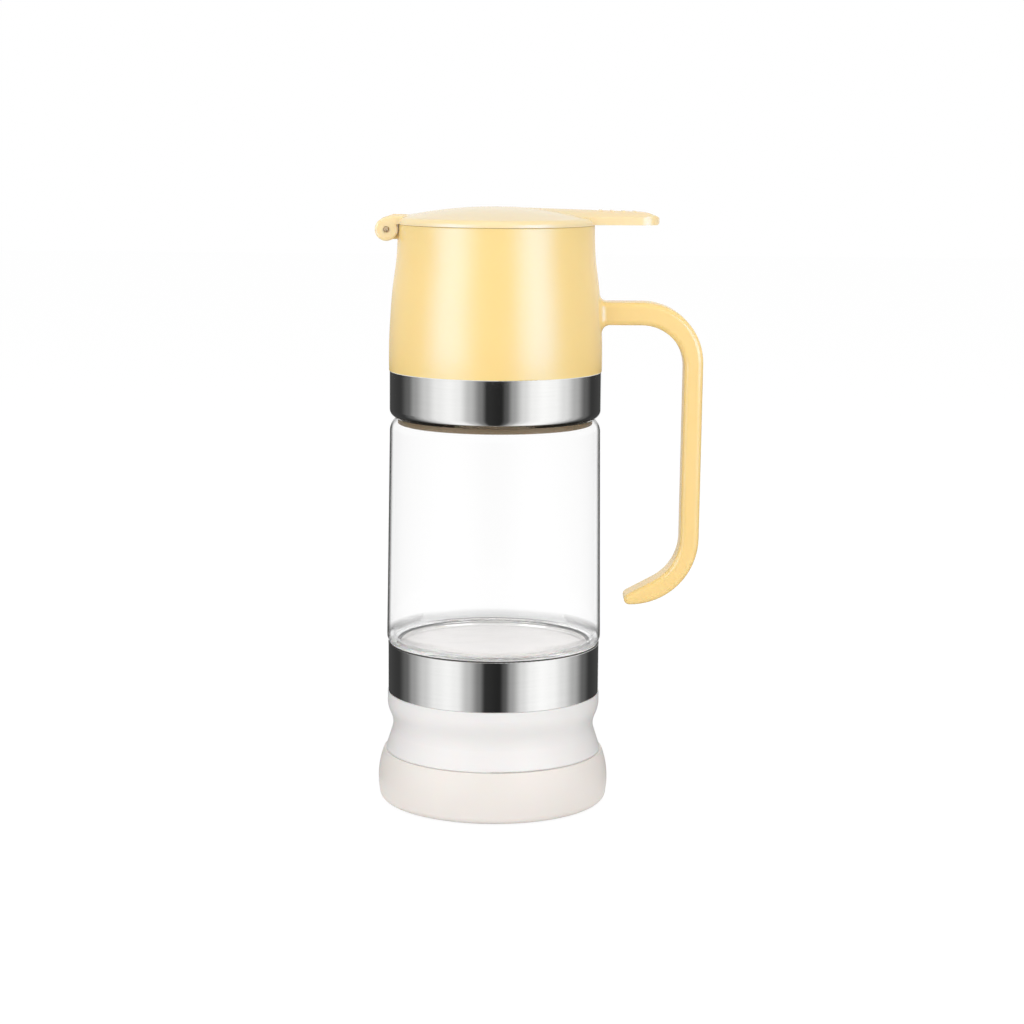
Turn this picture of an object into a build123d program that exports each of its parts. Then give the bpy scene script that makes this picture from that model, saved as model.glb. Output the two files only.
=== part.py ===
from build123d import *
from math import acos, atan, atan2, cos, degrees, hypot, pi, radians, sin, sqrt, tan
import os

# Honey dispenser: a glass jar on a waisted base, under a screwed-on head with a hook handle
# and a hinged lid. Millimetres. The origin is on the table under the jar's axis, +Z is up,
# the hinge is at -X and the handle at +X.

# Clearances
slip = 0.05             # nested sleeves of one assembly, on the radius
lid_gap = 0.1           # lid above the head's rim, at rest
turn_gap = 0.4          # collar above the jar's shoulder
thread_gap = 0.5        # thread crests to the wall opposite, on the radius
flank_gap = 0.15        # collar lugs under the neck ridges
hinge_gap = 0.35        # reliefs for the knuckle and the ears, on the radius
pin_run = 0.06          # pin in the lid's ears, on the radius
ear_slip = 0.3          # knuckle between the ears, on each side

# Base
pad_r = 37.0            # non-slip disc under the foot
pad_t = 1.5
pad_proud = 0.5         # how far the disc stands below the foot
pad_edge = 0.4
foot_h = 19.2           # foot shell, up to the seam
foot_top_r = 41.6       # foot at the seam
foot_low_r = 43.3       # foot where its bottom rounding starts
foot_bulge = 1.1        # wall's belly, beyond the straight line between those two
foot_round = 3.2
seam_edge = 0.5         # rounding of both edges of the seam
foot_wall = 2.4
foot_floor_t = 3.0
cup_seam_r = 41.0       # base cup at the seam
cup_h = 22.5            # base cup from the seam to the steel band
cup_wall = 2.2
socket_wall = 1.8       # base cup around the jar's foot
cup_rim_r = 40.25       # base cup under the steel band
cup_rim_h = 5.5         # straight stretch under the band
waist_r = 37.6          # corner of the waist, before it is rounded
waist_h = 10.4          # height of that corner above the seam
waist_round = 8.0
brow_round = 10.0       # rounding from the straight stretch into the waist
spigot_h = 5.0          # base cup's skirt inside the foot shell
shelf_t = 2.2           # floor under the jar
cushion_t = 1.5
cushion_edge = 0.4      # cushion's edge short of the jar's foot
ring_low = 0.7          # grip ring's lower edge above the jar's underside
ring_high = 0.3         # grip ring's upper edge below the cup's
soft_edge = 0.2         # rounding of the soft rings

# Steel bands
band_t = 0.8
band_edge = 0.2         # broken edges of the bands
upper_band_r = 39.6
upper_band_h = 17.8
roll_in = 2.2           # the upper band's lower edge turns in by this
roll_h = 1.8            # over this height, before it is rounded
roll_round = 3.0
lower_band_r = 40.05
lower_band_h = 18.8
band_overhang = 0.2     # lower band above the cup's rim
band_gap = 0.1          # glass above the lower band
rim_gap = 0.3           # upper band above the glass

# Glass jar
jar_top_r = 39.5        # body under the shoulder
jar_low_r = 40.55       # body above the band
jar_body_h = 83.0       # from the low corner to the shoulder
jar_wall = 1.6
heel_wall = 2.8         # wall at the floor
heel_h = 8.0            # the wall thickens from this far above the low corner
heel_bend = 6.0
jar_floor_t = 5.7
jar_foot_r = 36.8       # reduced foot that stands in the base
jar_foot_h = 5.1
jar_foot_round = 1.5
jar_low_round = 2.8
jar_shoulder_round = 6.0
shoulder_slope_h = 2.4  # corner of the shoulder below the jar's outer rim
jar_inner_round = 3.5
shoulder_fall = 0.8     # inside of the shoulder, from the neck out
shoulder_inner_round = 3.0
rebate_h = 2.2          # outer rim, above the seat of the collar's foot
rebate_r = 36.65        # inside of that rim
rebate_rim_r = 37.35    # outside of it
rebate_edge = 0.25
neck_bore_r = 30.8
neck_wall = 3.0
rim_round = 0.8
neck_root_round = 1.0
neck_inner_round = 2.0
ridge_depth = 1.4       # neck ridges stand out by this

# Thread: four ridges on the neck, four lugs in the collar
starts = 4
lead = 12.0             # rise in one full turn
ridge_t = 2.0
ridge_span = 42.0       # degrees
ridge_drop = 4.3        # ridge's middle below the jar's rim
lug_span = 18.0         # degrees
lug_lag = 8.0           # lug's middle behind the ridge's middle, closed, in degrees
crest_bevel = 0.3
ridge_sink = 0.5        # ridges and lugs start this deep in their wall

# Collar and seal
seal_t = 1.6
seal_inset = 0.5        # seal's bore outside the neck's bore
collar_wall = 1.75
collar_top_t = 2.0
lip_gap = 0.15          # collar's foot inside the jar's outer rim, on the radius
lip_edge = 0.2
flange_over = 0.4       # flange above the turned-in part of the band
collar_edge = 0.4

# Head shell
head_foot_r = 39.8
head_top_r = 36.6
head_h = 54.2           # from the steel band to the rim
head_wall = 2.2
head_ledge_r = 36.2     # ledge that rests on the collar
head_ledge_t = 2.6
head_taper = ((0.03, 0.24), (0.16, 0.38), (0.56, 0.636), (0.80, 0.735), (0.94, 0.84))
rim_edge = 0.3          # rounding of the head's rim
mouth_r = 31.0
mouth_wall = 1.8
mouth_depth = 8.6
deck_t = 2.2            # ring between the mouth and the head's wall

# Handle
root_h = 21.8           # middle of the handle's root above the steel band
root_t = 8.5
grip_t = 7.0
grip_w = 14.0
grip_reach = 73.45      # middle of the grip from the axis, at its lower end
grip_drop = 84.3        # root's middle down to the start of the hook
grip_lean = 0.4         # degrees
bend_out_r = 22.5
bend_in_r = 16.0
hook_r = 22.1           # middle line of the hook
hook_turn = 90.0        # degrees
taper_turn = 61.5       # where the hook starts to taper, in degrees
grip_round = 2.0
root_round = 3.2

# Hinge
pivot_back = 3.9        # pin behind the head's rim
pivot_rise = 1.8        # pin below the head's rim
ear_r = 4.25            # the lid's two ears, round about the pin
ear_w = 4.0
ear_back = 2.0          # highest point of an ear, in from the pin
ear_rise = 3.2          # and above the lid's underside
ear_in = 10.0           # how far an ear runs in over the dome
ear_sink = 0.3          # end of an ear's top below the dome's surface
ear_edge = 0.8          # rounding of the ears
knuckle_r = 3.7         # the head's knuckle between the ears
knuckle_w = 8.6
pin_r = 1.1
pin_proud = 0.6
pin_round = 0.8

# Lid
lid_r = 36.7
lid_edge_h = 2.3        # lid's wall
lid_rise = 6.5          # lid's underside to the top of its dome
lid_wall = 2.0
lid_round = 1.9
tab_reach = 60.4        # tip of the thumb tab from the axis
tab_root_w = 19.5
tab_tip_w = 17.0
tab_corner_r = 7.0
tab_fall = 0.0215       # slope of the tab's top line
tab_crown_r = 19.5
tab_lift = 0.3          # tab's underside above the lid's
tab_nose = ((9.5, 1.4), (4.0, 1.95), (1.4, 2.9))   # back from the tip, below the dome's top
tab_nose_h = 2.1        # height of the foremost point above the underside
tab_bevel = 0.8         # lower edge of the nose
grip_ribs = 4
rib_pitch = 4.2
rib_first = 38.6        # first rib from the axis
rib_w = 1.2
rib_l = 9.0
rib_h = 0.2
rib_ring_r = 27.6       # ring under the dome that carries the plug
rib_ring_t = 1.6
plug_disc_r = 32.0
plug_disc_t = 1.2
plug_r = 30.4
plug_wall = 1.6
plug_depth = 6.3        # plug's skirt below the lid's underside
plug_edge = 0.5
gasket_h = 2.1
gasket_drop = 2.45      # gasket's top below the lid's underside
gasket_seat = 0.9       # depth of its groove
gasket_play = 0.05
gasket_reach = 0.45     # how far it stands out of the plug
gasket_round = 0.4

# Heights, from the table up
foot_z = pad_proud
seam_z = foot_z + foot_h
lower_band_z = seam_z + cup_h
lower_band_top = lower_band_z + lower_band_h
cup_top = lower_band_top - band_overhang
jar_corner_z = lower_band_top + band_gap
jar_z = jar_corner_z - jar_foot_h
shelf_z = jar_z - cushion_t
shoulder_z = jar_corner_z + jar_body_h
flange_z = shoulder_z + turn_gap
rebate_z = shoulder_z + rebate_h
upper_band_z = rebate_z + rim_gap
roll_turn = atan2(roll_in, roll_h)
skirt_z = upper_band_z + roll_h + roll_round * tan(roll_turn / 2) + flange_over
head_z = upper_band_z + upper_band_h
head_top = head_z + head_h
collar_top = head_z - head_ledge_t
seal_top = collar_top - collar_top_t
rim_z = seal_top - seal_t
lid_z = head_top + lid_gap
dome_top = lid_z + lid_rise
pivot_z = head_top - pivot_rise
pivot_out = head_top_r + pivot_back
ear_middle = knuckle_w / 2 + ear_slip + ear_w / 2
ear_outside = ear_middle + ear_w / 2

# Radii that follow from the fits
cup_seat_r = lower_band_r - band_t - slip
cup_socket_r = cup_seat_r - socket_wall
neck_r = neck_bore_r + neck_wall
ridge_r = neck_r + ridge_depth
collar_bore_r = ridge_r + thread_gap
collar_r = collar_bore_r + collar_wall
skirt_bore_r = collar_r + slip
skirt_r = upper_band_r - band_t - slip
lip_r = rebate_r - lip_gap
lug_tip_r = neck_r + thread_gap
seal_bore_r = neck_bore_r + seal_inset
dome_sag = lid_rise - lid_edge_h
dome_r = (lid_r**2 + dome_sag**2) / (2 * dome_sag)
dome_z = dome_top - dome_r


def turned(*corners):
    """Body of revolution about the axis, from corners given as radius, height, rounding."""
    points = [(r, z) for r, z, _ in corners]
    outline = FilletPolyline(*points, radius=[c[2] for c in corners], close=True)
    return revolve(Plane.XZ * make_face(outline), Axis.Z)


def spun(*edges):
    """Body of revolution about the axis, from the edges of its section."""
    return revolve(Plane.XZ * make_face(list(edges)), Axis.Z)


def side_plate(sketch, width, middle=0.0):
    """Sketch drawn in X and Z, made a plate of a width about Y = middle."""
    plate = extrude(Plane.XZ * sketch, width / 2, both=True)
    return Pos(0, middle, 0) * plate


def across(radius, width, middle=0.0):
    """Cylinder on the hinge's axis."""
    rod = Rot(X=90) * Cylinder(radius, width)
    return Pos(-pivot_out, middle, pivot_z) * rod


def ridge_ring(root_r, crest_r, height, span, at_angle, at_z):
    """One thread start: a ring segment about the axis, tilted to the thread's lead."""
    inner, outer = sorted((root_r, crest_r))
    bevel = crest_bevel if crest_r > root_r else -crest_bevel
    half = height / 2
    section = Polyline((root_r, -half), (crest_r - bevel, -half), (crest_r, -half + crest_bevel),
                       (crest_r, half - crest_bevel), (crest_r - bevel, half), (root_r, half),
                       close=True)
    ring = revolve(Plane.XZ * make_face(section), Axis.Z, span)
    tilt = degrees(atan(lead / (2 * pi * (inner + outer) / 2)))
    return Pos(0, 0, at_z) * Rot(Z=at_angle) * Rot(X=tilt) * Rot(Z=-span / 2) * ring


def dome_height(radius, below=0.0):
    """Height of the lid's dome at a radius, or of the surface that lies below it."""
    return dome_z + sqrt((dome_r - below)**2 - radius**2)


def foot_pad():
    """Non-slip disc that the dispenser stands on."""
    return turned((0, 0, 0), (pad_r, 0, pad_edge), (pad_r, pad_t, 0), (0, pad_t, 0))


def foot_shell():
    """Lower part of the base: a round tray with a bellied wall and a recess for the pad."""
    belly = SagittaArc((foot_low_r, foot_z + foot_round), (foot_top_r, seam_z), -foot_bulge)
    inner_r = foot_top_r - foot_wall
    floor_top = foot_z + foot_floor_t
    recess_r = pad_r + slip
    recess_top = pad_t
    corner = RadiusArc((foot_low_r, foot_z + foot_round), (foot_low_r - foot_round, foot_z), foot_round)
    rest = Polyline((foot_top_r, seam_z), (inner_r, seam_z), (inner_r, floor_top), (0, floor_top),
                    (0, recess_top), (recess_r, recess_top), (recess_r, foot_z),
                    (foot_low_r - foot_round, foot_z))
    shell = spun(corner, belly, rest)
    rims = shell.edges().filter_by(lambda e: abs(e.center().Z - seam_z) < slip)
    return fillet(rims.sort_by(SortBy.RADIUS)[-1], seam_edge)


def base_cup():
    """Waisted upper part of the base, with the socket that the jar's foot stands in."""
    outside = ((cup_seat_r, cup_top, 0), (cup_seat_r, lower_band_z, 0), (cup_rim_r, lower_band_z, 0),
               (cup_rim_r, lower_band_z - cup_rim_h, brow_round),
               (waist_r, seam_z + waist_h, waist_round), (cup_seam_r, seam_z, seam_edge))
    skirt_out = foot_top_r - foot_wall - slip
    skirt_in = skirt_out - cup_wall
    inside = ((skirt_out, seam_z, 0), (skirt_out, seam_z - spigot_h, 0),
              (skirt_in, seam_z - spigot_h, 0), (skirt_in, seam_z, 0),
              (waist_r - cup_wall, seam_z + waist_h, waist_round),
              (cup_rim_r - cup_wall, lower_band_z - cup_rim_h, 0),
              (cup_socket_r, shelf_z - shelf_t, 0), (0, shelf_z - shelf_t, 0),
              (0, shelf_z, 0), (cup_socket_r, shelf_z, 0), (cup_socket_r, cup_top, 0))
    return turned(*outside, *inside)


def lower_band():
    """Polished sleeve with broken edges."""
    inner = lower_band_r - band_t
    return turned((inner, lower_band_z, 0), (lower_band_r, lower_band_z, band_edge),
                  (lower_band_r, lower_band_top, band_edge), (inner, lower_band_top, 0))


def rolled_line(inset, end_round=0.0):
    """The upper band's turned-in outline, moved in by inset, from its lower end to the corner above."""
    end = (upper_band_r - roll_in - inset * cos(roll_turn), upper_band_z + inset * sin(roll_turn), end_round)
    corner_z = upper_band_z + roll_h + inset * tan(roll_turn / 2)
    return end, (upper_band_r - inset, corner_z, roll_round - inset)


def upper_band():
    """Polished sleeve whose lower edge turns in over the collar's flange."""
    outer_end, outer_corner = rolled_line(0, band_edge)
    inner_end, inner_corner = rolled_line(band_t)
    return turned(outer_end, outer_corner, (upper_band_r, head_z, band_edge),
                  (upper_band_r - band_t, head_z, 0), inner_corner, inner_end)


def jar_cushion():
    """Soft disc between the jar's foot and the base."""
    r = jar_foot_r - cushion_edge
    return turned((0, shelf_z, 0), (r, shelf_z, 0), (r, jar_z, 0), (0, jar_z, 0))


def jar_grip_ring():
    """Soft ring that holds the jar's foot in its socket."""
    inner, outer = jar_foot_r + slip, cup_socket_r - slip
    low, high = jar_z + ring_low, cup_top - ring_high
    return turned((inner, low, soft_edge), (outer, low, soft_edge), (outer, high, soft_edge),
                  (inner, high, soft_edge))


def glass_jar():
    """Clear jar: reduced foot, slightly tapered body, round shoulder with a rebate, ridged neck."""
    shell = turned(
        (0, jar_z, 0), (jar_foot_r, jar_z, jar_foot_round), (jar_foot_r, jar_corner_z, 0),
        (jar_low_r, jar_corner_z, jar_low_round),
        (jar_top_r, rebate_z - shoulder_slope_h, jar_shoulder_round),
        (rebate_rim_r, rebate_z, rebate_edge), (rebate_r, rebate_z, rebate_edge),
        (rebate_r, shoulder_z, rebate_edge), (neck_r, shoulder_z, neck_root_round),
        (neck_r, rim_z, rim_round), (neck_bore_r, rim_z, rim_round),
        (neck_bore_r, shoulder_z - jar_wall, neck_inner_round),
        (jar_top_r - jar_wall, shoulder_z - jar_wall - shoulder_fall, shoulder_inner_round),
        (jar_low_r - jar_wall, jar_corner_z + heel_h, heel_bend),
        (jar_low_r - heel_wall, jar_z + jar_floor_t, jar_inner_round),
        (0, jar_z + jar_floor_t, 0))
    ridge_z = rim_z - ridge_drop
    for k in range(starts):
        shell += ridge_ring(neck_r - ridge_sink, ridge_r, ridge_t, ridge_span, 360 / starts * k,
                            ridge_z)
    return shell


def neck_collar():
    """Ring inside the head that screws on the jar; its flange carries the steel band."""
    flange_end, flange_corner = rolled_line(band_t + slip)
    flange_r, _, _ = flange_corner
    _, step_z, _ = flange_end
    ring = turned(
        (collar_bore_r, flange_z, lip_edge), (lip_r, flange_z, lip_edge), (lip_r, step_z, 0),
        flange_end, flange_corner, (flange_r, skirt_z, 0),
        (collar_r, skirt_z, 0), (collar_r, collar_top, collar_edge),
        (seal_bore_r, collar_top, collar_edge), (seal_bore_r, seal_top, 0),
        (collar_bore_r, seal_top, 0))
    lug_z = rim_z - ridge_drop - ridge_t - flank_gap - lead * lug_lag / 360
    for k in range(starts):
        ring += ridge_ring(collar_bore_r + ridge_sink, lug_tip_r, ridge_t, lug_span,
                           360 / starts * k - lug_lag, lug_z)
    return ring


def neck_seal():
    """Soft ring between the jar's rim and the collar."""
    outer = collar_bore_r - thread_gap / 2
    return turned((seal_bore_r, rim_z, soft_edge), (outer, rim_z, soft_edge), (outer, seal_top, 0),
                  (seal_bore_r, seal_top, 0))


def head_wall_line(inset, top):
    """The head's bell line, moved in by inset and cut off at a height, as a spline from below."""
    points = [(head_foot_r - inset, head_z)]
    for taper, rise in head_taper:
        radius = head_foot_r - taper * (head_foot_r - head_top_r)
        points.append((radius - inset, head_z + rise * head_h))
    points.append((head_top_r - inset, top))
    return Spline(*points)


def head_bell():
    """The head without its handle and hinge: skirt, tapered wall, deck and mouth."""
    mouth_z = head_top - mouth_depth
    deck_z = head_top - deck_t
    outer = head_wall_line(0, head_top - rim_edge)
    inner = head_wall_line(head_wall, deck_z)
    rim = RadiusArc((head_top_r, head_top - rim_edge), (head_top_r - rim_edge, head_top), -rim_edge)
    mouth = Polyline((head_top_r - rim_edge, head_top), (mouth_r + rim_edge, head_top),
                     (mouth_r, head_top - rim_edge), (mouth_r, mouth_z),
                     (mouth_r + mouth_wall, mouth_z), (mouth_r + mouth_wall, deck_z),
                     (head_top_r - head_wall, deck_z))
    foot = Polyline((head_foot_r - head_wall, head_z), (head_ledge_r, head_z),
                    (head_ledge_r, collar_top), (skirt_bore_r, collar_top),
                    (skirt_bore_r, skirt_z), (skirt_r, skirt_z), (skirt_r, head_z),
                    (head_foot_r, head_z))
    return spun(outer, rim, mouth, inner, foot)


def handle_outline(root_x):
    """Side outline of the handle: straights, tangent arcs, a hook that tapers to a round tip."""
    lean = radians(grip_lean)
    root_z = head_z + root_h
    grip_z = root_z - grip_drop

    def aim(turn):
        angle = -lean - radians(turn)
        return Vector(cos(angle), sin(angle))

    def shoulder(z, end, radius):
        corner = (end.X + (z - end.Y) * tan(lean), z)
        return FilletPolyline((root_x, z), corner, (end.X, end.Y), radius=radius)

    centre = Vector(grip_reach, grip_z) - aim(0) * hook_r
    out_r, in_r = hook_r + grip_t / 2, hook_r - grip_t / 2
    taper = hook_turn - taper_turn
    tip_r = (out_r * cos(radians(taper)) - in_r) / (1 + cos(radians(taper)))
    nose = centre + aim(hook_turn) * (out_r - tip_r)
    top = shoulder(root_z + root_t / 2, centre + aim(0) * out_r, bend_out_r)
    under = shoulder(root_z - root_t / 2, centre + aim(0) * in_r, bend_in_r)
    outer = ThreePointArc(*[centre + aim(turn) * out_r for turn in (0, hook_turn / 2, hook_turn)])
    inner = ThreePointArc(*[centre + aim(turn) * in_r for turn in (0, taper_turn / 2, taper_turn)])
    tip_turn = hook_turn + (180 - taper) / 2
    tip = ThreePointArc(outer @ 1, nose + aim(tip_turn) * tip_r, nose - aim(taper_turn) * tip_r)
    flank = Line(tip @ 1, inner @ 1)
    root = Line((root_x, root_z - root_t / 2), (root_x, root_z + root_t / 2))
    return [top, outer, tip, flank, inner, under, root]


def hook_handle():
    """Handle that reaches from inside the head's wall out, down and back in."""
    root_x = head_foot_r - head_wall
    handle = side_plate(make_face(handle_outline(root_x)), grip_w)
    rims = handle.faces().filter_by(Axis.Y).edges()
    long_edges = rims.filter_by(lambda e: (e @ 0.5).X > root_x + 0.1)
    return fillet(long_edges, grip_round)


def hinge_knuckle():
    """Knuckle behind the head's rim, between the lid's ears, running down into the wall."""
    wall_in = pivot_out - head_top_r + head_wall / 2
    tangent = acos(knuckle_r / hypot(wall_in, knuckle_r)) - atan2(knuckle_r, wall_in)
    low_z = pivot_z - knuckle_r
    outline = Polyline(
        (-pivot_out, pivot_z), (-pivot_out, low_z), (-pivot_out + wall_in, low_z),
        (-pivot_out + knuckle_r * cos(tangent), pivot_z + knuckle_r * sin(tangent)), close=True)
    return across(knuckle_r, knuckle_w) + side_plate(make_face(outline), knuckle_w)


def head_shell():
    """Head: bell, handle and hinge knuckle in one moulding."""
    bell, handle = Rot(Z=90) * head_bell(), hook_handle()
    body = bell + handle
    body = fillet(new_edges(bell, handle, combined=body), root_round)
    for side in (-1, 1):
        body -= across(ear_r + hinge_gap, ear_w + 2 * ear_slip, side * ear_middle)
    body += hinge_knuckle()
    return body - across(pin_r, 2 * knuckle_w)


def hinge_pin():
    """Steel pin with domed ends, pressed into the head's knuckle."""
    length = 2 * (ear_outside + pin_proud)
    pin = across(pin_r, length)
    return fillet(pin.edges().filter_by(GeomType.CIRCLE), pin_round)


def thumb_tab():
    """Tab that runs out from the middle of the dome: crowned across, falling to a round nose."""
    nose = [(tab_reach - back, dome_top - drop) for back, drop in tab_nose]
    top_line = Line((0, dome_top), nose[0])
    curve = Spline(*nose, (tab_reach, lid_z + tab_nose_h), tangents=((1, -tab_fall), (0, -1)))
    low = lid_z + tab_lift
    under = Polyline((tab_reach, lid_z + tab_nose_h), (tab_reach, low + tab_bevel),
                     (tab_reach - tab_bevel, low), (0, low), (0, dome_top))
    side = side_plate(make_face([top_line, curve, under]), 2 * tab_root_w)
    half_root, half_tip = tab_root_w / 2, tab_tip_w / 2
    plan = FilletPolyline((0, -half_root), (lid_r, -half_root), (tab_reach, -half_tip),
                          (tab_reach, half_tip), (lid_r, half_root), (0, half_root),
                          radius=[0, tab_corner_r, tab_corner_r, tab_corner_r, tab_corner_r, 0],
                          close=True)
    prism = Pos(0, 0, lid_z) * extrude(make_face(plan), 2 * lid_rise)
    return side, prism & side & tab_crown(0)


def tab_crown(raised):
    """Long cylinder whose top is the tab's crowned surface, raised by an amount."""
    length = 2 * tab_reach
    rod = Rot(Y=90) * Cylinder(tab_crown_r + raised, length)
    return Pos(0, 0, dome_top) * Rot(Y=degrees(atan(tab_fall))) * Pos(0, 0, -tab_crown_r) * rod


def grip_rib_bars(side):
    """Plain cross ribs on the tab, following its crown."""
    raised = (Pos(0, 0, rib_h) * side) & tab_crown(rib_h)
    bars = []
    for k in range(grip_ribs):
        bar = Box(rib_w, rib_l, 2 * lid_rise, align=(Align.CENTER, Align.CENTER, Align.MIN))
        bars.append((Pos(rib_first + k * rib_pitch, 0, lid_z + lid_wall) * bar) & raised)
    return bars


def hinge_ear(side):
    """Ear of the lid: round about the pin, its top running in over the rim to the dome."""
    peak_x, peak_z = ear_back, lid_z + ear_rise - pivot_z
    tangent = atan2(peak_z, peak_x) + acos(ear_r / hypot(peak_x, peak_z))
    inner_x = -pivot_out + ear_in
    inner_r = hypot(inner_x, ear_outside)
    outline = Polyline(
        (-pivot_out, pivot_z), (-pivot_out + ear_r * cos(tangent), pivot_z + ear_r * sin(tangent)),
        (-pivot_out + peak_x, pivot_z + peak_z), (inner_x, dome_height(inner_r) - ear_sink),
        (inner_x, dome_height(inner_r, lid_wall)), (-lid_r + lid_wall, lid_z),
        (-pivot_out + ear_r / 2, lid_z), close=True)
    outer = -1 if side > 0 else 0
    disc = across(ear_r, ear_w, side * ear_middle)
    disc = fillet(disc.edges().filter_by(GeomType.CIRCLE).sort_by(Axis.Y)[outer], ear_edge)
    arm = side_plate(make_face(outline), ear_w, side * ear_middle)
    outer_face = arm.faces().filter_by(Axis.Y).sort_by(Axis.Y)[outer]
    arm = fillet(outer_face.edges().sort_by(Axis.Z)[-2:], ear_edge)
    return disc + arm


def lid_cover():
    """Domed lid with thumb tab, plain grip ribs and two hinge ears, hollow underneath."""
    dome = ThreePointArc((0, dome_top), (lid_r / 2, dome_height(lid_r / 2)),
                         (lid_r, dome_height(lid_r)))
    skin = Polyline((lid_r, dome_height(lid_r)), (lid_r, lid_z), (0, lid_z), (0, dome_top))
    cap = spun(dome, skin)
    wall = cap.faces().filter_by(GeomType.CYLINDER)[0]
    cap = fillet(wall.edges().sort_by(Axis.Z)[-1], lid_round)
    side_view, tab = thumb_tab()
    cover = cap + tab
    for bar in grip_rib_bars(side_view):
        cover += bar
    cover -= across(knuckle_r + hinge_gap, knuckle_w + 2 * ear_slip)
    for side in (-1, 1):
        cover += hinge_ear(side)
    hollow_r = lid_r - lid_wall
    roof = ThreePointArc((0, dome_top - lid_wall), (hollow_r / 2, dome_height(hollow_r / 2, lid_wall)),
                         (hollow_r, dome_height(hollow_r, lid_wall)))
    sides = Polyline((hollow_r, dome_height(hollow_r, lid_wall)), (hollow_r, lid_z - lid_wall),
                     (0, lid_z - lid_wall), (0, dome_top - lid_wall))
    cover -= spun(roof, sides)
    ring_in = rib_ring_r - rib_ring_t
    disc_top = lid_z + plug_disc_t
    cover += turned((ring_in, disc_top, 0), (rib_ring_r, disc_top, 0),
                    (rib_ring_r, dome_height(rib_ring_r, lid_wall / 2), 0),
                    (ring_in, dome_height(ring_in, lid_wall / 2), 0))
    return cover - across(pin_r + pin_run, 4 * ear_outside)


def lid_plug():
    """Liner under the lid: a disc with a skirt that enters the mouth, grooved for the gasket."""
    groove_r = plug_r - gasket_seat
    groove_top = lid_z - gasket_drop + gasket_play
    groove_low = groove_top - gasket_h - 2 * gasket_play
    return turned(
        (0, lid_z + plug_disc_t, 0), (plug_disc_r, lid_z + plug_disc_t, 0),
        (plug_disc_r, lid_z, 0), (plug_r, lid_z, 0), (plug_r, groove_top, 0),
        (groove_r, groove_top, 0), (groove_r, groove_low, 0), (plug_r, groove_low, 0),
        (plug_r, lid_z - plug_depth, plug_edge), (plug_r - plug_wall, lid_z - plug_depth, plug_edge),
        (plug_r - plug_wall, lid_z, plug_edge), (0, lid_z, 0))


def lid_gasket():
    """Soft ring in the plug's groove."""
    inner, outer = plug_r - gasket_seat + gasket_play, plug_r + gasket_reach
    top = lid_z - gasket_drop
    low = top - gasket_h
    return turned((inner, low, soft_edge), (outer, low, gasket_round), (outer, top, gasket_round),
                  (inner, top, soft_edge))


parts = {
    "foot_pad": foot_pad(),
    "foot_shell": foot_shell(),
    "base_cup": base_cup(),
    "lower_band": lower_band(),
    "jar_cushion": jar_cushion(),
    "jar_grip_ring": jar_grip_ring(),
    "glass_jar": glass_jar(),
    "neck_seal": neck_seal(),
    "neck_collar": neck_collar(),
    "upper_band": upper_band(),
    "head_shell": head_shell(),
    "hinge_pin": hinge_pin(),
    "lid_cover": lid_cover(),
    "lid_plug": lid_plug(),
    "lid_gasket": lid_gasket(),
}

os.makedirs("parts", exist_ok=True)
for name, shape in parts.items():
    export_step(shape, f"parts/{name}.step")
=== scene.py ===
from math import asin, cos, degrees, pi, radians, sin, tan

import bmesh
import bpy
import numpy as np
from mathutils import Matrix


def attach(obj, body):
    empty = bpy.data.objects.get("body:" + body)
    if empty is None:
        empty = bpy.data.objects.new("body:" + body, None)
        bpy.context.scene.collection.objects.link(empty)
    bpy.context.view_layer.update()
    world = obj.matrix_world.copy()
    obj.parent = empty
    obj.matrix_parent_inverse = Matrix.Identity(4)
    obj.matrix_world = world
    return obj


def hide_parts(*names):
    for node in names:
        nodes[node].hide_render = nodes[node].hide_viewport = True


# Honey dispenser: a glass jar on a white waisted base, under a pale yellow head with a hook handle
# and a hinged lid. Metres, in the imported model's frame: +Z up, hinge at -X, handle at +X.

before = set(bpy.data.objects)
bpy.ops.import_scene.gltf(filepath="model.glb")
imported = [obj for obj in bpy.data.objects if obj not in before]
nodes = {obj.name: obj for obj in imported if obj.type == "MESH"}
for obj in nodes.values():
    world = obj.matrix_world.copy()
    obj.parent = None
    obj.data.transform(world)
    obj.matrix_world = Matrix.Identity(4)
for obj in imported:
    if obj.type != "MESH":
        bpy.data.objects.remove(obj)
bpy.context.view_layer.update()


class Signal:
    """A socket in a material. Arithmetic on it adds Math nodes; node() adds any other node."""

    def __init__(self, tree, socket=None):
        self.tree = tree
        self.socket = socket

    def node(self, kind, settings=None, sockets=None, output=0):
        """Adds a node. Settings come first, then the values or links of its sockets."""
        made = self.tree.nodes.new(kind)
        for name, value in (settings or {}).items():
            if name == "stops":
                ramp = made.color_ramp
                while len(ramp.elements) < len(value):
                    ramp.elements.new(0.5)
                for element, (position, grey) in zip(ramp.elements, value):
                    element.position = position
                    element.color = (grey, grey, grey, 1)
            else:
                setattr(made, name, value)
        for name, value in (sockets or {}).items():
            if isinstance(value, Signal):
                self.tree.links.new(value.socket, made.inputs[name])
            else:
                made.inputs[name].default_value = value
        return Signal(self.tree, made.outputs[output])

    def maths(self, operation, *values):
        return self.node("ShaderNodeMath", {"operation": operation}, dict(enumerate(values)))

    def __add__(self, other):
        return self.maths("ADD", self, other)

    def __sub__(self, other):
        return self.maths("SUBTRACT", self, other)

    def __rsub__(self, other):
        return self.maths("SUBTRACT", other, self)

    def __mul__(self, other):
        return self.maths("MULTIPLY", self, other)

    def __truediv__(self, other):
        return self.maths("DIVIDE", self, other)

    def __pow__(self, other):
        return self.maths("POWER", self, other)

    __radd__ = __add__
    __rmul__ = __mul__


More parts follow.
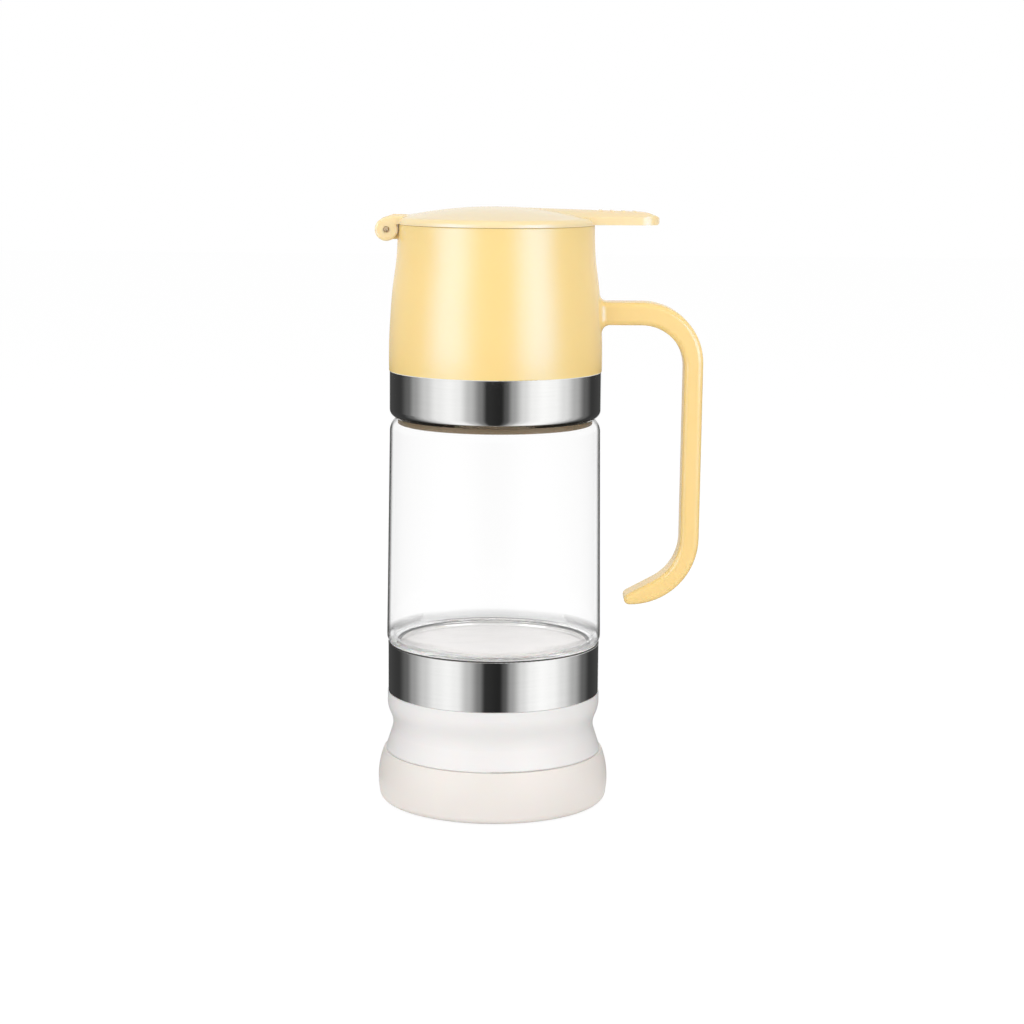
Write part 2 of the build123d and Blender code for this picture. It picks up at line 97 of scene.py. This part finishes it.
def new_material(name):
    """An empty node material and the Signal that starts its nodes."""
    made = bpy.data.materials.new(name)
    made.use_nodes = True
    made.node_tree.nodes.clear()
    return made, Signal(made.node_tree)


def close_tree(tree, kind, shader):
    """Links a shader to the output of a material, a lamp or the world."""
    output = tree.nodes.new(kind)
    tree.links.new(shader.socket, output.inputs["Surface"])


def close_material(made, shader):
    """Links a shader to the material's output."""
    close_tree(made.node_tree, "ShaderNodeOutputMaterial", shader)
    return made


def place(start):
    """Position on the piece, in metres."""
    return start.node("ShaderNodeTexCoord", output="Object")


def height_of(start):
    """Height on the piece, in metres."""
    return start.node("ShaderNodeSeparateXYZ", None, {"Vector": place(start)}, output="Z")


def scaled(start, scale):
    """Position on the piece, multiplied along each axis."""
    return start.node("ShaderNodeMapping", {"vector_type": "POINT"},
                      {"Vector": place(start), "Scale": scale})


def noise(start, scale, detail=3.0):
    """Noise over the piece, 0 to 1. The scale is in cells a metre along each axis."""
    return start.node("ShaderNodeTexNoise", None, {
        "Vector": scaled(start, scale), "Scale": 1.0, "Detail": detail, "Roughness": 0.5})


def mixed(start, amount, low, high):
    """Colour between two colours, each given as numbers or as a Signal."""
    low, high = (end if isinstance(end, Signal) else (*end, 1) for end in (low, high))
    return start.node("ShaderNodeMix", {"data_type": "RGBA"},
                      {"Factor": amount, "A": low, "B": high}, output="Result")


def fade(value, first, last):
    """0 up to first, 1 from last on, straight between them; last may be the lower one."""
    return value.node("ShaderNodeMapRange", None,
                      {"Value": value, "From Min": first, "From Max": last})


def mix_shaders(amount, low, high):
    """One shader turning into another as the amount goes from 0 to 1."""
    return amount.node("ShaderNodeMixShader", None, {0: amount, 1: low, 2: high})


def bump(start, height, depth):
    """Normal of a surface raised by height, 0 to 1, times a depth in metres."""
    return start.node("ShaderNodeBump", None,
                      {"Strength": 1.0, "Distance": depth, "Height": height})


def honey_plastic(name, low, high, roughness):
    """Glossy moulded plastic: a cloud of two yellows, a faint uneven gloss and orange peel."""
    made, start = new_material(name)
    cloud = noise(start, (22, 22, 14))
    peel = noise(start, (900, 900, 900), detail=2.0)
    shader = start.node("ShaderNodeBsdfPrincipled", None, {
        "Base Color": mixed(start, cloud, low, high),
        "Roughness": roughness + 0.06 * noise(start, (70, 70, 40)),
        "IOR": 1.5,
        "Subsurface Weight": 0.25,
        "Subsurface Scale": 0.004,
        "Subsurface Radius": (1.0, 0.7, 0.35),
        "Normal": bump(start, peel, depth=0.000012)})
    return close_material(made, shader)


def polished_steel(name, tint, roughness, shade_top=None):
    """Mirror-polished steel with faint lines drawn round it.

    Below shade_top its colour is painted dark: a painted reflection of the dark collar under it."""
    made, start = new_material(name)
    lines = noise(start, (30, 30, 9000), detail=2.0)
    smear = noise(start, (60, 60, 900))
    colour = mixed(start, smear, [0.94 * c for c in tint], tint)
    # Painted reflection: below shade_top the colour turns to the collar's dark, as if the band
    # mirrored it
    if shade_top:
        collar_shade = (0.17, 0.135, 0.09)
        shade_blend = 0.0005
        shaded = fade(height_of(start), shade_top, shade_top - shade_blend)
        colour = mixed(start, shaded, colour, collar_shade)
    shader = start.node("ShaderNodeBsdfPrincipled", None, {
        "Base Color": colour,
        "Metallic": 1.0,
        "Roughness": roughness + 0.02 * smear,
        "Normal": bump(start, lines, depth=0.0000004)})
    return close_material(made, shader)


def clear_glass(name, heel_top):
    """Clear pressed glass. The thin wall shows by its gloss and by dark edges on the outside, which
    are painted shade.

    The thick heel, up to heel_top, bends light."""
    made, start = new_material(name)
    refraction = 1.47
    wavy = bump(start, noise(start, (45, 45, 25), detail=1.0), depth=0.00006)
    heel = start.node("ShaderNodeBsdfPrincipled", None, {
        "Base Color": (0.985, 0.99, 0.99, 1),
        "Roughness": 0.0,
        "IOR": refraction,
        "Transmission Weight": 1.0,
        "Normal": wavy})
    clear = start.node("ShaderNodeBsdfTransparent")
    gloss = start.node("ShaderNodeBsdfGlossy", None, {"Roughness": 0.02, "Normal": wavy})
    # Painted shade: a dark shader on the outside where the wall is seen edge-on
    edge = start.node("ShaderNodeBsdfPrincipled", None, {
        "Base Color": (0.05, 0.052, 0.048, 1), "Roughness": 0.12, "IOR": refraction})
    normal = start.node("ShaderNodeTexCoord", output="Normal")
    outwards = start.node("ShaderNodeVectorMath", {"operation": "DOT_PRODUCT"},
                          {0: normal, 1: scaled(start, (1, 1, 0))}, output="Value")
    back = start.node("ShaderNodeNewGeometry", output="Backfacing")
    outside = fade(outwards * (1 - 2 * back), 0.0, 0.001)
    facing = start.node("ShaderNodeLayerWeight", None, {"Blend": 0.5}, output="Facing")
    least_gloss, edge_gloss = 0.02, 0.25
    wall = mix_shaders((least_gloss + edge_gloss * facing ** 4) * outside, clear, gloss)
    edge_from, edge_full = 0.74, 0.9
    edged = mix_shaders(fade(facing, edge_from, edge_full) * outside, wall, edge)
    heel_blend = 0.004
    in_heel = fade(height_of(start), heel_top, heel_top - heel_blend)
    return close_material(made, mix_shaders(in_heel, edged, heel))


def white_plastic(name, low, high, roughness):
    """Satin moulded plastic: white, or a dark tan that paints the shade on the yellow neck collar.
    """
    made, start = new_material(name)
    cloud = noise(start, (30, 30, 18))
    grain = noise(start, (2600, 2600, 2600), detail=2.0)
    shader = start.node("ShaderNodeBsdfPrincipled", None, {
        "Base Color": mixed(start, cloud, low, high),
        "Roughness": roughness + 0.08 * noise(start, (90, 90, 60)),
        "Subsurface Weight": 0.15,
        "Subsurface Scale": 0.003,
        "Normal": bump(start, grain, depth=0.000008)})
    return close_material(made, shader)


def soft_rubber(name, low, high, roughness, clear=0.0):
    """Rubber or silicone with a fine matt grain; clear lets some light through."""
    made, start = new_material(name)
    grain = noise(start, (1800, 1800, 1800))
    shader = start.node("ShaderNodeBsdfPrincipled", None, {
        "Base Color": mixed(start, grain, low, high),
        "Roughness": roughness + 0.1 * grain,
        "Transmission Weight": clear,
        "Normal": bump(start, grain, depth=0.00002)})
    return close_material(made, shader)


bright_steel = (0.93, 0.93, 0.92)
warm_steel = (0.62, 0.47, 0.30)
honey = honey_plastic("honey_plastic", (0.88, 0.62, 0.235), (0.93, 0.69, 0.285), roughness=0.22)
# Painted sheen: the lid is the head's yellow plastic painted paler, for the pale gloss of its lit
# dome
lid_yellow_painted_sheen = honey_plastic("lid_plastic", (0.88, 0.68, 0.37), (0.93, 0.74, 0.43), roughness=0.16)
steel = polished_steel("polished_steel", bright_steel, roughness=0.03)
# The upper band is painted dark below 0.1482 m: a painted reflection of the collar under it
rolled_steel = polished_steel("rolled_steel", bright_steel, roughness=0.03, shade_top=0.1482)
pin_steel = polished_steel("steel_pin", warm_steel, roughness=0.12)
glass = clear_glass("clear_glass", heel_top=0.066)
cup_white = white_plastic("white_cup", (0.80, 0.775, 0.765), (0.86, 0.84, 0.83), roughness=0.28)
foot_white = white_plastic("white_foot", (0.78, 0.74, 0.70), (0.84, 0.79, 0.75), roughness=0.36)
# Painted shade: the neck collar's dark tan is its yellow plastic darkened as if in shadow under the
# band
tan_plastic = white_plastic("tan_plastic", (0.17, 0.125, 0.068), (0.25, 0.19, 0.115), roughness=0.3)
silicone = soft_rubber("clear_silicone", (0.74, 0.74, 0.72), (0.84, 0.84, 0.82), roughness=0.4,
                       clear=0.4)
cushion = soft_rubber("pale_silicone", (0.93, 0.88, 0.86), (0.96, 0.92, 0.90), roughness=0.4)
pad_rubber = soft_rubber("pad_rubber", (0.50, 0.49, 0.47), (0.60, 0.59, 0.57), roughness=0.7)
groove_shade_rubber = soft_rubber("groove_shade_rubber", (0.03, 0.027, 0.024), (0.05, 0.045, 0.04), roughness=0.5)

finishes = {
    "foot_pad": pad_rubber, "foot_shell": foot_white, "base_cup": cup_white, "lower_band": steel,
    "jar_cushion": cushion, "jar_grip_ring": silicone, "glass_jar": glass, "neck_seal": silicone,
    "neck_collar": tan_plastic, "upper_band": rolled_steel, "head_shell": honey,
    "hinge_pin": pin_steel, "lid_cover": lid_yellow_painted_sheen, "lid_plug": lid_yellow_painted_sheen,
    "lid_gasket": silicone}
for name, material in finishes.items():
    for slot in nodes[name].material_slots:
        slot.material = material

# The glass casts no shadow, and nothing mirrors the head
nodes["glass_jar"].visible_shadow = False
nodes["head_shell"].visible_glossy = False


def add_mesh(name, points, faces, material):
    """A smooth mesh object from points and faces given as whole arrays."""
    mesh = bpy.data.meshes.new(name)
    mesh.from_pydata(points, [], faces)
    mesh.polygons.foreach_set("use_smooth", np.ones(len(faces), dtype=bool))
    mesh.update()
    made = bpy.data.objects.new(name, mesh)
    bpy.context.scene.collection.objects.link(made)
    mesh.materials.append(material)
    return made


def arc_wall(name, radius, low, high, first, last, count, material):
    """Upright wall on a circle about Z: (r cos a, r sin a, z), a first to last, z low or high."""
    turn = np.radians(np.linspace(first, last, count))
    ring = np.stack([radius * np.cos(turn), radius * np.sin(turn)], axis=1)
    bottom = np.column_stack([ring, np.full(count, low)])
    top = np.column_stack([ring, np.full(count, high)])
    k = np.arange(count - 1)
    faces = np.stack([k + 1, k, k + count, k + count + 1], axis=1)
    return add_mesh(name, np.vstack([bottom, top]), faces.tolist(), material)


def flat_ring(name, inner, outer, height, count, material):
    """Level ring about Z: (r cos a, r sin a, height), r inner or outer, all round."""
    turn = np.linspace(0, 2 * pi, count, endpoint=False)
    ring = np.stack([np.cos(turn), np.sin(turn)], axis=1)
    level = np.full(count, height)
    points = np.vstack([np.column_stack([inner * ring, level]),
                        np.column_stack([outer * ring, level])])
    k = np.arange(count)
    after = (k + 1) % count
    faces = np.stack([k, k + count, after + count, after], axis=1)
    return add_mesh(name, points, faces.tolist(), material)


def turned_piece(name, radii, heights, material):
    """Solid of revolution about Z: the outline's (r, z) at the turn a is (r cos a, r sin a, z)."""
    count = 192
    size = len(radii)
    turn = np.linspace(0, 2 * pi, count, endpoint=False)
    points = np.stack([np.outer(np.cos(turn), radii), np.outer(np.sin(turn), radii),
                       np.broadcast_to(heights, (count, size))], axis=2)
    i, j = np.meshgrid(np.arange(count), np.arange(size), indexing="ij")
    next_i, next_j = (i + 1) % count, (j + 1) % size
    faces = np.stack([i * size + j, next_i * size + j, next_i * size + next_j, i * size + next_j],
                     axis=2)
    made = add_mesh(name, points.reshape(-1, 3), faces.reshape(-1, 4).tolist(), material)
    welded = bmesh.new()
    welded.from_mesh(made.data)
    bmesh.ops.remove_doubles(welded, verts=welded.verts, dist=1e-7)
    welded.to_mesh(made.data)
    welded.free()
    made.data.set_sharp_from_angle(angle=radians(40))
    return made


def rounded_rim(radius, low, high, edge):
    """Outline of a disc's rim, bottom to top: quarter circles of radius edge at both corners."""
    turn = np.linspace(0, pi / 2, 6)
    radii = radius - edge + edge * np.concatenate([np.sin(turn), np.cos(turn)])
    heights = np.concatenate([low + edge - edge * np.cos(turn), high - edge + edge * np.sin(turn)])
    return radii, heights


# Foot disc with rings moulded underneath, in place of the plain one
pad_r, pad_t, pad_edge = 0.037, 0.0015, 0.0004
ring_depth, ring_pitch, plain_rim = 0.0003, 0.0025, 0.001
under = np.linspace(0, pad_r - plain_rim, 181)
under_z = ring_depth * np.sin(pi * under / ring_pitch) ** 2
rim_r, rim_z = rounded_rim(pad_r, 0.0, pad_t, pad_edge)
pad = turned_piece("ringed_foot_pad", np.concatenate([under, rim_r, [0]]),
                   np.concatenate([under_z, rim_z, [pad_t]]), pad_rubber)
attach(pad, "base")
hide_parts("foot_pad")

# Soft disc under the jar: dished a little, so that it touches the glass by its rim
glass_under = 0.056
soft_r, soft_t, soft_edge = 0.0364, 0.0015, 0.0003
dish, flat_rim = 0.0001, 0.002
soft_under = glass_under - soft_t
rim_r, rim_z = rounded_rim(soft_r, soft_under, glass_under, soft_edge)
soft_disc = turned_piece("soft_jar_disc", np.concatenate([[0], rim_r, [soft_r - flat_rim, 0]]),
                         np.concatenate([[soft_under], rim_z, [glass_under - dish] * 2]), cushion)
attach(soft_disc, "base")
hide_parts("jar_cushion")

# Thin dark ring in the groove between the lower steel band and the glass: a dark piece put there as
# painted shade of the groove
bead_r, bead_z, bead_w = 0.0397, 0.06122, 0.00025
turn = np.linspace(0, 2 * pi, 12, endpoint=False)
bead = turned_piece("groove_shade_bead", bead_r + bead_w * np.cos(turn),
                    bead_z + bead_w * np.sin(turn), groove_shade_rubber)
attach(bead, "base")

# Camera of the photograph, with its roll in radians
image_width = 1024
focal_px = 2480
sensor_mm = 36
pitch = radians(8.9)
roll = 0.008
camera_place = (0.00663, -0.9259, 0.2556)
camera_data = bpy.data.cameras.new("camera")
camera_data.sensor_width = sensor_mm
camera_data.lens = sensor_mm * focal_px / image_width
camera = bpy.data.objects.new("camera", camera_data)
bpy.context.scene.collection.objects.link(camera)
camera.matrix_world = (Matrix.Translation(camera_place) @ Matrix.Rotation(pi / 2 - pitch, 4, "X")
                       @ Matrix.Rotation(roll, 4, "Z"))
bpy.context.scene.camera = camera


def floor_material():
    """Pale floor: diffuse, and mostly white where the camera sees it, with some shadow kept."""
    made, start = new_material("pale_floor")
    seen = start.node("ShaderNodeLightPath", output="Is Camera Ray")
    diffuse = start.node("ShaderNodeBsdfDiffuse", None, {"Color": (0.9, 0.9, 0.9, 1)})
    glow = start.node("ShaderNodeEmission", None, {"Color": (1, 1, 1, 1), "Strength": 1.08})
    white_share = 0.85
    return close_material(made, mix_shaders(seen * white_share, diffuse, glow))


def direction(start, where):
    """Direction of a point round the object, in degrees right of the front."""
    apart = start.node("ShaderNodeSeparateXYZ", None, {"Vector": where})
    y = Signal(start.tree, apart.socket.node.outputs["Y"])
    return start.maths("ARCTAN2", apart, 0 - y) * (180 / pi)


def tent_material(mirrored, band_r, tent_r):
    """Light tent: its brightness runs with the direction, in degrees right of the front.

    The levels are given by the direction in which a steel band of radius band_r mirrors them. A
    ray that leaves the band in the direction d meets the tent at
    d - asin(band_r / tent_r * sin(d / 2))."""
    stops = [(turn - degrees(asin(band_r / tent_r * sin(radians(turn / 2)))), level)
             for turn, level in mirrored]
    first, last = stops[0][0], stops[-1][0]
    top = max(level for _, level in stops)
    made, start = new_material("tent_glow")
    turn = direction(start, place(start))
    ramp = start.node("ShaderNodeValToRGB", {
        "stops": [((at - first) / (last - first), level / top) for at, level in stops]},
        {"Fac": fade(turn, first, last)})
    ramp.socket.node.color_ramp.interpolation = "EASE"
    glow = start.node("ShaderNodeEmission", None, {"Strength": ramp * top})
    return close_material(made, glow)


# Studio: pale floor, white surroundings, a light tent that only gloss sees, soft lamps
floor_half = 4
corners = [(x * floor_half, y * floor_half, 0) for x, y in ((-1, -1), (1, -1), (1, 1), (-1, 1))]
floor = add_mesh("floor", corners, [(0, 1, 2, 3)], floor_material())

# Tent that the steel mirrors: brightness by direction, in degrees to the right of the camera
tent_levels = [(-160, 0.06), (-125, 0.04), (-108, 0.13), (-97, 0.34), (-80, 0.64), (-65, 0.9),
               (-50, 1.0), (-40, 0.93), (-27, 0.54), (-15, 0.21), (-8, 0.03), (7, 0.02),
               (13, 0.1), (20, 0.36), (32, 0.76), (42, 0.97), (54, 1.06), (68, 1.0),
               (82, 0.78), (98, 0.45), (115, 0.13), (130, 0.04), (160, 0.06)]
tent_r = 0.18
tent_glow = tent_material(tent_levels, band_r=0.04, tent_r=tent_r)
tent = arc_wall("tent", tent_r, low=-0.02, high=0.151, first=-245, last=65, count=156,
                material=tent_glow)
tent_foot = flat_ring("tent_foot", inner=0.06, outer=tent_r, height=0.0005, count=96,
                      material=tent_glow)
for piece in (tent, tent_foot):
    piece.visible_camera = False
    piece.visible_diffuse = False
    piece.visible_transmission = False
    piece.visible_shadow = False


def soft_lamp(name, turn, rise, distance, width, height, power):
    """Soft lamp aimed at the object from a direction: degrees right of the front, degrees up."""
    data = bpy.data.lights.new(name, "AREA")
    data.shape = "RECTANGLE"
    data.size = width
    data.size_y = height
    data.energy = power
    lamp = bpy.data.objects.new(name, data)
    bpy.context.scene.collection.objects.link(lamp)
    middle_z = 0.12
    x = distance * cos(radians(rise)) * sin(radians(turn))
    y = -distance * cos(radians(rise)) * cos(radians(turn))
    z = middle_z + distance * sin(radians(rise))
    lamp.matrix_world = (Matrix.Translation((x, y, z)) @ Matrix.Rotation(radians(turn), 4, "Z")
                         @ Matrix.Rotation(radians(90 - rise), 4, "X"))
    lamp.visible_glossy = False
    lamp.visible_camera = False
    return lamp


lamp_reach, lamp_side = 1.4, 0.9
for name, turn, rise, power in (("lamp_left", -50, 15, 6.3), ("lamp_right", 45, 15, 5.4),
                                ("lamp_top", 0, 70, 5)):
    soft_lamp(name, turn, rise, lamp_reach, lamp_side, lamp_side, power)

# Two tall lamps for the streaks of gloss on the yellow plastic alone, brightest in their middle
yellow = bpy.data.collections.new("yellow_plastic")
for name in ("head_shell", "lid_cover"):
    yellow.objects.link(nodes[name])
streak_reach, streak_rise, streak_height, streak_power = 0.6, 4, 0.5, 13
for turn, half_width in ((-49, 40), (45, 37)):
    width = 2 * streak_reach * tan(radians(half_width))
    streak = soft_lamp("streak_lamp", turn, streak_rise, streak_reach, width, streak_height,
                       streak_power)
    streak.data.color = (0.1, 0.45, 1.0)
    streak.visible_glossy = True
    streak.visible_diffuse = False
    streak.light_linking.receiver_collection = yellow
    streak.data.use_nodes = True
    streak.data.node_tree.nodes.clear()
    lamp = Signal(streak.data.node_tree)
    away = direction(lamp, lamp.node("ShaderNodeNewGeometry", output="Position")) - turn
    level = lamp.maths("COSINE", away / half_width * (pi / 2)) ** 2
    close_tree(lamp.tree, "ShaderNodeOutputLight",
               lamp.node("ShaderNodeEmission", None, {"Strength": level}))

# White surroundings for the camera, gloss and glass, and a dimmer even light on the object
world = bpy.data.worlds.new("surroundings")
bpy.context.scene.world = world
world.use_nodes = True
world.node_tree.nodes.clear()
sky = Signal(world.node_tree)
ray = sky.node("ShaderNodeLightPath").socket.node.outputs
seen = (Signal(sky.tree, ray["Is Camera Ray"]) + Signal(sky.tree, ray["Is Glossy Ray"])
        + Signal(sky.tree, ray["Is Transmission Ray"]))
white = sky.maths("MINIMUM", seen, 1.0)
ambient = 0.55
close_tree(sky.tree, "ShaderNodeOutputWorld", sky.node("ShaderNodeBackground", None, {
    "Color": (1, 1, 1, 1), "Strength": ambient + white * (1 - ambient)}))

bpy.context.scene.view_settings.view_transform = "Standard"
